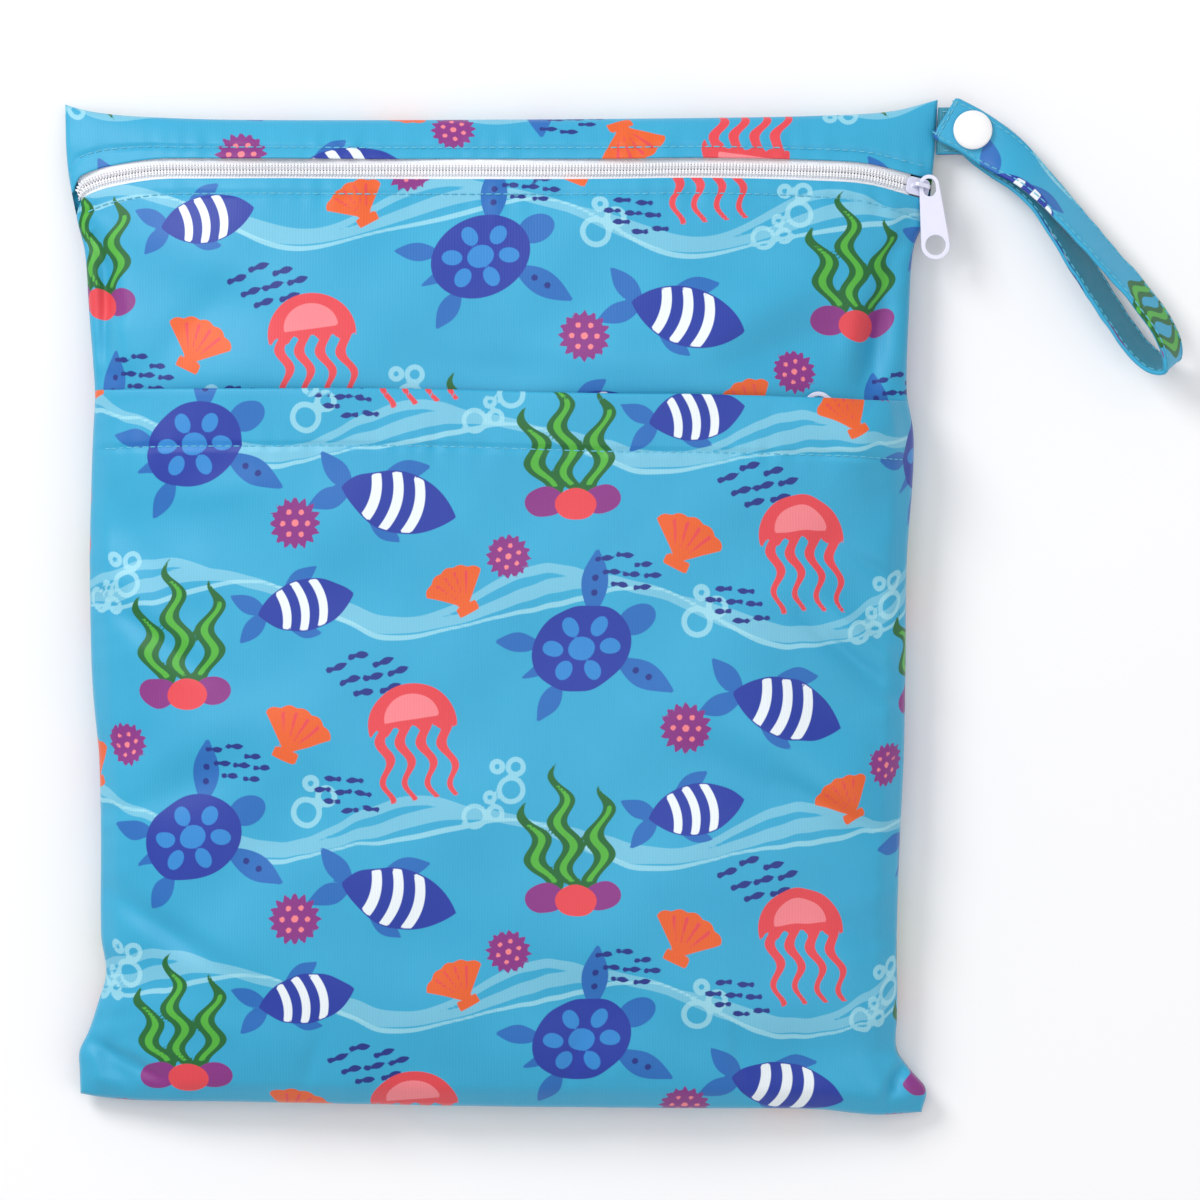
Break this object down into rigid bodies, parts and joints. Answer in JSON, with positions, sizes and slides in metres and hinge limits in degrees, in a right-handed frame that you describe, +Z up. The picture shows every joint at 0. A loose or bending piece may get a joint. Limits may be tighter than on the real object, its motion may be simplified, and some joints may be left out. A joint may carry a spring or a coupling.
{
  "type": "cloth diaper wet bag",
  "caption": "Soft rectangular zipped cloth wet bag, lightly filled and lying on its back, with a zipped front pocket under a flap and a wrist strap closed by a press snap.",
  "frame": {"origin": "middle of the resting face, on the surface that the bag lies on", "axes": "+X to the bag's right, where the strap is, +Y to the bag's top edge, +Z up out of the front"},
  "size_m": [0.4016, 0.3647, 0.044],
  "materials": {
    "printed_cloth": "printed knit polyester, laminated on its inner side, slight satin sheen",
    "pocket_cloth": "the same printed knit polyester",
    "zip_white": "white woven zip tape and nylon coil",
    "pull_lacquer": "pale lacquered zinc, modelled as gloss plastic because the lacquer covers it",
    "snap_resin": "pale grey moulded resin"
  },
  "bodies": {
    "bag": {"back_panel": "printed_cloth", "front_panel": "printed_cloth", "pocket_panel": "pocket_cloth", "wrist_strap": "printed_cloth", "zip_tape_upper": "zip_white", "zip_tape_lower": "zip_white", "zip_coil": "zip_white", "pocket_zip": "zip_white", "zip_slider": "pull_lacquer", "pocket_zip_slider": "pull_lacquer", "pocket_zip_pull": "pull_lacquer", "snap_cap": "snap_resin", "snap_socket": "snap_resin", "snap_stud": "snap_resin", "snap_back": "snap_resin"},
    "pull": {"zip_pull": "pull_lacquer"}
  },
  "joints": [
    {"name": "zip_pull_turn", "type": "hinge", "parent": "bag", "child": "pull", "pos_m": [0.15104, 0.15247, 0.01547], "axis": [0.1045, -0.9945, 0], "range_deg": [0, 95]}
  ]
}
